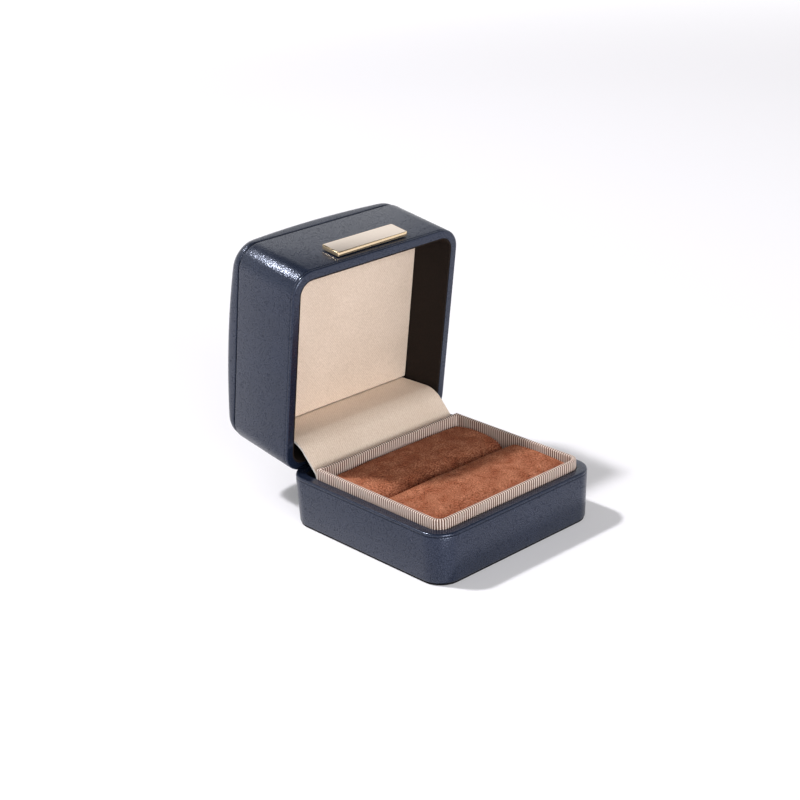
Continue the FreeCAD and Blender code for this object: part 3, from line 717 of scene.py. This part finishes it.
def pad_edge(x, y):
    """Distance from the middle to the pad's outline, through a point."""
    reach = math.hypot(x, y)
    if reach < touch:
        return pad_half, 0.0
    straight = pad_half - pad_turn
    a, b = max(abs(x), abs(y)) / reach, min(abs(x), abs(y)) / reach
    if b / a * pad_half <= straight:
        return pad_half / a, reach
    along = straight * (a + b)
    return along + math.sqrt(along * along - 2 * straight * straight + pad_turn * pad_turn), reach


for vertex in pad.data.vertices:
    x, y, z = vertex.co / mm
    if z > pad_low + skirt - touch:
        edge, reach = pad_edge(x, y)
        crown = pad_rise - reach * reach / (2 * pad_crown)
        vertex.co.z = (lid_seat + crown - rounded_drop(edge - reach, pad_shoulder)) * mm
bevel_edges(pad, outside_at(pad_low, pad_half - 0.3), 0.3, 3)
apply_modifier(pad, "SUBSURF", levels=1, render_levels=1)
swing_open(pad)
finish_piece(pad, "lid", ["lid_pad_cover", "lid_pad_foam"], "navy_leather", grained_leatherette)

# %% [markdown]
# The plate is stamped from sheet brass, so its face is flat and its bevel is narrow.
# Two flat prongs on its back pass through slits in the lid's front wall.

# %% Gold plate
plate_half = 13.8
plate_back = -half_width - 0.4
plate_face = -half_width - 1.65
plate = add_block("gold_plate", (-plate_half, plate_face, plate_low),
                  (plate_half, plate_back, plate_high))
bevel_edges(plate, lambda p: near(p[0].x, p[1].x) and near(p[0].z, p[1].z), 0.7, 5)
bevel_edges(plate, lambda p: all(near(q.y, plate_face) for q in p), 0.35, 3)
prong_half = 1.5
prong_end = -30.05
for x in prong_places:
    prong = add_block("prong", (x - prong_half, plate_back - 0.2, plate_middle - 0.3),
                      (x + prong_half, prong_end, plate_middle + 0.3))
    apply_modifier(plate, "BOOLEAN", operation="UNION", object=prong, solver="EXACT")
    bpy.data.objects.remove(prong)
plate.data.materials.append(brushed_gold_painted_bright)
plate.data.materials.append(polished_gold)
for face in plate.data.polygons:
    face.material_index = 0 if abs(face.normal.y) > 0.99 else 1
swing_open(plate)
finish_piece(plate, "lid", ["front_plate"], "plate_brass", angle=20)

# %% [markdown]
# The inside of the lid has two linings: dark flocked paper round the walls, and the
# cream cloth on a card that is pressed in over it as a ceiling.

# %% Linings of the lid
wall_inset = rim_width - flock_thickness
wall_half = half_width - wall_inset
wall_low = mouth_plane + 0.15
wall_high = 38.2
wall_lining = add_rounded_block("lid_wall_flock", (-wall_half, -wall_half, wall_low),
                                (wall_half, wall_half, wall_high), corner - wall_inset)
open_through(wall_lining, flock_thickness)
swing_open(wall_lining)
finish_piece(wall_lining, "lid", ["lid_side_lining"], "brown_lining", wall_flock)

ceiling = 30.9
crease_y = 24.2
ceiling_half = half_width - rim_width - 0.15
lining_thickness = 0.4
ceiling_turn = 4.1
lining = add_block("lid_ceiling_cloth", (-ceiling_half, -ceiling_half, ceiling),
                   (ceiling_half, crease_y, ceiling + lining_thickness))
bevel_edges(lining, lambda p: near(p[0].x, p[1].x) and near(p[0].y, p[1].y) and p[0].y < 0,
            ceiling_turn, 8)
bevel_edges(lining, lambda p: near(p[0].x, p[1].x) and near(p[0].y, p[1].y) and p[0].y > 0, 0.5, 3)
bevel_edges(lining, lambda p: all(near(q.z, ceiling) for q in p), 0.3, 3)
for face in lining.data.polygons:
    face.material_index = 1 if abs(face.normal.x) > 0.3 else 0
swing_open(lining)
finish_piece(lining, "lid", ["lid_ceiling_lining"], "cream_cloth", ceiling_cloth, cut_edge)

# %% [markdown]
# A strip of the same cloth on thin card runs from the ceiling over the hinge and down
# behind the tray, so that the metal is never seen from the front. It has to bend as
# the lid turns, but here it is shaped only as it lies with the lid open, and it is
# not tied to either body.

# %% Strip over the hinge
strip_half = 28.3
strip_thickness = 0.6
strip_path = [(46.49, 24.36), (31.42, 24.66), (23.25, 16.2), (23.25, 9.0)]
strip_turns = (3.5, 1.0)
start_z = 24.0
strip = add_block("hinge_strip_cloth", (-strip_half, strip_path[1][0], start_z),
                  (strip_half, strip_path[0][0], start_z + 1))
open_edit(strip, "FACE")
pick(strip, "faces", lambda p: not all(near(q.z, start_z) for q in p))
bpy.ops.mesh.delete(type="FACE")
bpy.ops.mesh.select_mode(type="VERT")
for y, z in strip_path[:2]:
    pick(strip, "verts", lambda p: near(p[0].y, y))
    bpy.ops.transform.translate(value=(0, 0, (z - start_z) * mm))
bpy.ops.mesh.select_mode(type="EDGE")
pick(strip, "edges", lambda p: all(near(q.y, strip_path[1][0]) for q in p))
for (y0, z0), (y1, z1) in zip(strip_path[1:], strip_path[2:]):
    bpy.ops.mesh.extrude_region_move(
        TRANSFORM_OT_translate={"value": (0, (y1 - y0) * mm, (z1 - z0) * mm)})
close_edit()
for (y, z), width in zip(strip_path[1:3], strip_turns):
    bevel_edges(strip, lambda p: all(near(q.y, y) and near(q.z, z) for q in p), width, 10)
open_edit(strip, "EDGE")
pick(strip, "edges", lambda p: near(p[0].x, p[1].x) and (p[0] - p[1]).length > 1.0)
bpy.ops.mesh.subdivide(number_cuts=7)
pick(strip, "edges", lambda p: not near(p[0].x, p[1].x))
bpy.ops.mesh.subdivide(number_cuts=19)
bpy.ops.mesh.select_all(action="SELECT")
bpy.ops.mesh.normals_make_consistent(inside=False)
close_edit()
up_facing = sum(face.normal.z * face.area for face in strip.data.polygons)
if up_facing < 0:
    strip.data.flip_normals()
apply_modifier(strip, "SOLIDIFY", thickness=strip_thickness * mm, offset=0.0, use_even_offset=True)
strip.data.materials.append(strip_cloth_painted_lighter)
strip.data.materials.append(cut_edge)
for face in strip.data.polygons:
    face.material_index = 1 if abs(face.normal.x) > 0.9 else 0
choose(strip)
bpy.ops.object.shade_smooth_by_angle(angle=math.radians(35))
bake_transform(strip)
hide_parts("hinge_cover")

# %% [markdown]
# The tray's frame is bound in grosgrain. Its ribs could be a bump, but they notch the
# outline of the rounded top, so they are modelled. The tray's outline is cut into
# steps half a rib long and extruded into a tower of rows. Each row is then folded to
# its place over the rim, and every second column is drawn in, which makes the groove
# between two ribs. At the rear corners the columns end on a mitre, as cut ribbon does.

# %% Outline of the ribbon
tray_half = 29.1
tray_rear = 22.5
tray_top = 18.9
tray_turn = 3.4
ribbon_low = 12.4
tray_wall = 1.4
edge_roll = 0.5
groove_depth = 0.2
ribbon_thickness = 0.25
turns = [math.radians(22.5 * i) for i in range(5)]
over = [(edge_roll * (1 - math.cos(a)), tray_top - edge_roll * (1 - math.sin(a))) for a in turns]
rows = [(0, ribbon_low)] + over + [(tray_wall - d, z) for d, z in over[::-1]] + [(tray_wall, ribbon_low)]
bpy.ops.object.select_all(action="DESELECT")
bpy.ops.mesh.primitive_plane_add(size=2 * tray_half * mm, location=(0, 0, 0))
ribbon = bpy.context.object
ribbon.name = ribbon.data.name = "tray_grosgrain"
open_edit(ribbon, "VERT")
pick(ribbon, "verts", lambda p: p[0].y > 0)
bpy.ops.transform.translate(value=(0, (tray_rear - tray_half) * mm, 0))
pick(ribbon, "verts", lambda p: p[0].y < 0)
bpy.ops.mesh.bevel(offset=tray_turn * mm, segments=13, affect="VERTICES")
bpy.ops.mesh.select_mode(type="EDGE")
# Steps of 0.415 mm: 124 along the front, 116 along each side and 140 along the rear
for shortest, longest, steps in ((20, 55, 4), (55, 60, 5), (12.5, 13, 31), (12, 12.5, 29), (11, 12, 28)):
    pick(ribbon, "edges", lambda p: shortest < (p[0] - p[1]).length < longest)
    bpy.ops.mesh.subdivide(number_cuts=steps - 1)
bpy.ops.mesh.select_mode(type="FACE")
bpy.ops.mesh.select_all(action="SELECT")
for row in rows[1:]:
    bpy.ops.mesh.extrude_region_move(TRANSFORM_OT_translate={"value": (0, 0, 1 * mm)})
pick(ribbon, "faces", lambda p: len(p) > 100)
bpy.ops.mesh.delete(type="FACE")
close_edit()
print(ribbon.name, len(rows), "rows of", len(ribbon.data.vertices) // len(rows), "vertices")

# %% [markdown]
# The rows so far stand straight up. A walk round the foot of the tower numbers its
# columns, so that every second one can be marked as a groove. The mark also goes to
# the finish, which paints shade into it.

# %% Ribs of the ribbon
def drawn_in(x, y, inset):
    """Where a point of the tray's outline goes when the outline is drawn in."""
    straight = tray_half - tray_turn
    if y < -straight and abs(x) > straight:
        share = (tray_turn - inset) / tray_turn
        side = math.copysign(straight, x)
        return side + (x - side) * share, -straight + (y + straight) * share
    if near(y, -tray_half):
        return x, y + inset
    reach = tray_half - inset
    if near(y, tray_rear):
        return max(-reach, min(reach, x)), y - inset
    return math.copysign(reach, x), min(y, tray_rear - inset)


mesh = bmesh.new()
mesh.from_mesh(ribbon.data)
groove_layer = mesh.verts.layers.float.new("groove")
first = min((v for v in mesh.verts if v.co.z < touch * mm), key=lambda v: (v.co.y, abs(v.co.x)))
outline = [first]
edge = next(e for e in first.link_edges if e.is_boundary)
while edge.other_vert(outline[-1]) is not first:
    outline.append(edge.other_vert(outline[-1]))
    edge = next(e for e in outline[-1].link_edges if e.is_boundary and e is not edge)
grooves = {(round(v.co.x / mm, 2), round(v.co.y / mm, 2)): i % 2 for i, v in enumerate(outline)}
for v in mesh.verts:
    x, y, z = v.co / mm
    v[groove_layer] = grooves[round(x, 2), round(y, 2)]
    inset, height = rows[round(z)]
    v.co = Vector((*drawn_in(x, y, inset), height)) * mm
bmesh.ops.remove_doubles(mesh, verts=mesh.verts, dist=0.001 * mm)
mesh.normal_update()
for v in mesh.verts:
    v.co -= v.normal * v[groove_layer] * groove_depth * mm
mesh.to_mesh(ribbon.data)
mesh.free()
print("columns round the tray", len(outline))
apply_modifier(ribbon, "SOLIDIFY", thickness=ribbon_thickness * mm, offset=-1.0)
finish_piece(ribbon, "base", ["tray_ribbon"], "cream_ribbon", grosgrain, angle=60)

# %% [markdown]
# Two rolls of foam in suede fill the tray and pinch the ring between them. The front
# roll stands high and drops steeply into the slot; the rear one slopes down to it.
# Each starts as a block, is remeshed into even small squares, and then its top is
# pressed into a crown with rounded shoulders and the slight unevenness of foam.

# %% Suede rolls
roll_floor = 3.7
roll_half = 27.6
block_top = 16.0
front_roll_edges = (-27.6, -1.4)
rear_roll_edges = (-0.4, 21.0)
front_height, front_crown = 16.85, 0.75
rear_low, rear_rise, rear_height, rear_fall = 15.5, 1.4, 16.9, 1.0
side_turn = 0.9
end_sag = 0.35
# Depth and size of the foam's unevenness, and where in the noise it is read
lumps = ((0.16, 6.5, 3.0), (0.05, 2.2, 9.0))


def front_top(share):
    """The front roll's height at a share of its depth: an even crown."""
    return front_height + front_crown * (1 - (2 * share - 1) ** 2)


def rear_top(share):
    """The rear roll's height: it climbs from the slot and falls a little at the back."""
    if share < 0.5:
        return rear_low + rear_rise * math.sin(math.pi * share)
    return rear_height - rear_fall * (2 * share - 1) ** 2


def make_roll(name, edges, top, front_turn, rear_turn, corner_turn):
    """A suede roll between two places along y. Its turns are the radii of its shoulders."""
    front, rear = edges
    roll = add_block(name, (-roll_half, front, roll_floor), (roll_half, rear, block_top))
    bevel_edges(roll, lambda p: near(p[0].x, p[1].x) and near(p[0].y, p[1].y) and p[0].y < front + 1,
                corner_turn, 5)
    choose(roll)
    apply_modifier(roll, "REMESH", mode="VOXEL", voxel_size=0.6 * mm)
    for vertex in roll.data.vertices:
        x, y, z = vertex.co / mm
        x = max(-roll_half, min(roll_half, x))
        y = max(front, min(rear, y))
        height = top((y - front) / (rear - front)) - end_sag * (x / roll_half) ** 2
        height -= rounded_drop(roll_half - abs(x), side_turn)
        height -= rounded_drop(y - front, front_turn) + rounded_drop(rear - y, rear_turn)
        height += sum(depth * noise.noise(Vector((x, y, layer)) / size) for depth, size, layer in lumps)
        z = roll_floor + (z - roll_floor) * (height - roll_floor) / (block_top - roll_floor)
        vertex.co = Vector((x, y, z)) * mm
    apply_modifier(roll, "SMOOTH", factor=0.5, iterations=2)
    apply_modifier(roll, "SUBSURF", levels=1, render_levels=1)
    return roll


front_roll = make_roll("suede_roll_front", front_roll_edges, front_top, 0.9, 4.2, 1.8)
finish_piece(front_roll, "base", ["cushion_cover_front", "cushion_foam_front"], "brown_suede", suede)
rear_roll = make_roll("suede_roll_rear", rear_roll_edges, rear_top, 5.0, 0.9, 0.4)
finish_piece(rear_roll, "base", ["cushion_cover_rear", "cushion_foam_rear"], "brown_suede", suede)
